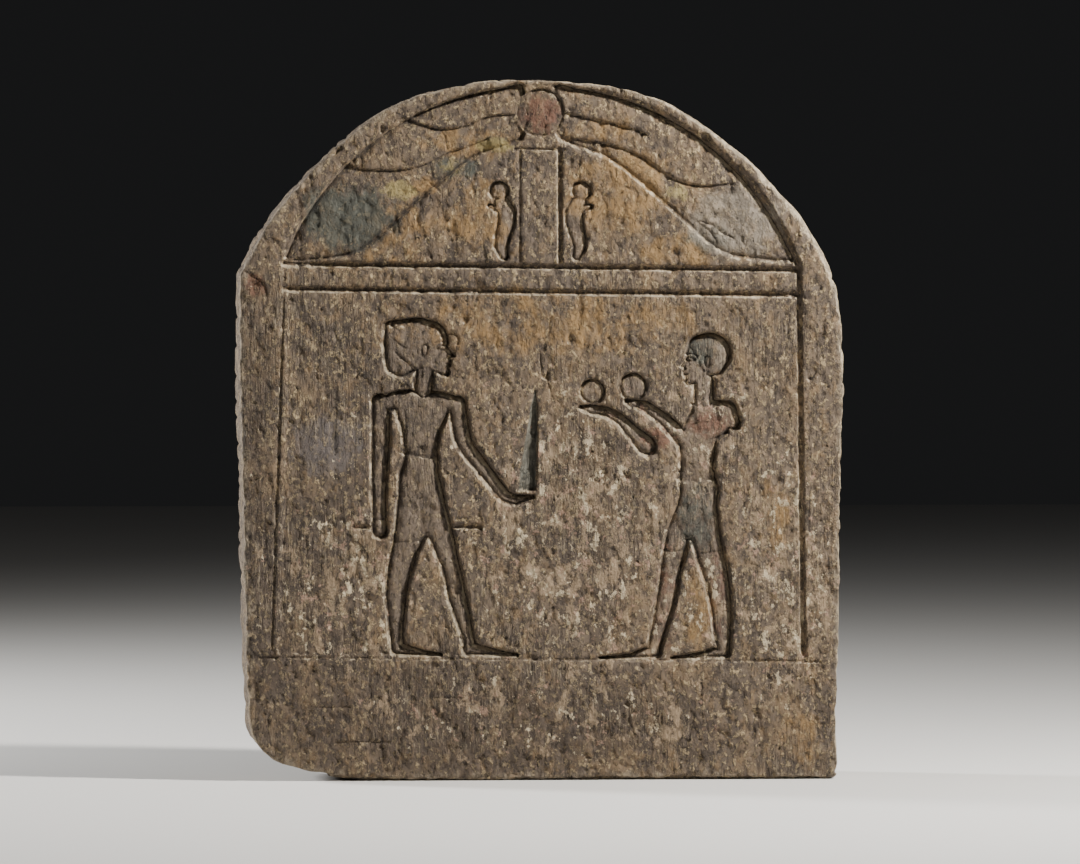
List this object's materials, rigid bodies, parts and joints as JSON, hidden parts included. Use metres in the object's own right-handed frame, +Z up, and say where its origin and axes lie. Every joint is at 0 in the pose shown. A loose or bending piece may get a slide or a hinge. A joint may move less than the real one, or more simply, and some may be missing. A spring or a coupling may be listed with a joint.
{
  "type": "carved stone stele",
  "caption": "Round-topped sandstone stele with a winged sun disc and two figures in sunk relief, one holding out jars to a striding king.",
  "frame": {"origin": "centre of the bounding box's foot, on the plane the stone stands on", "axes": "+Z up, -Y out of the carved face, +X to the right of someone who looks at the carved face"},
  "size_m": [0.4865, 0.11, 0.5622],
  "materials": {
    "sandstone": "dressed with a fine point chisel, weathered, with traces of paint and a pale crust"
  },
  "bodies": {
    "root": {"stele": "sandstone"}
  },
  "joints": []
}
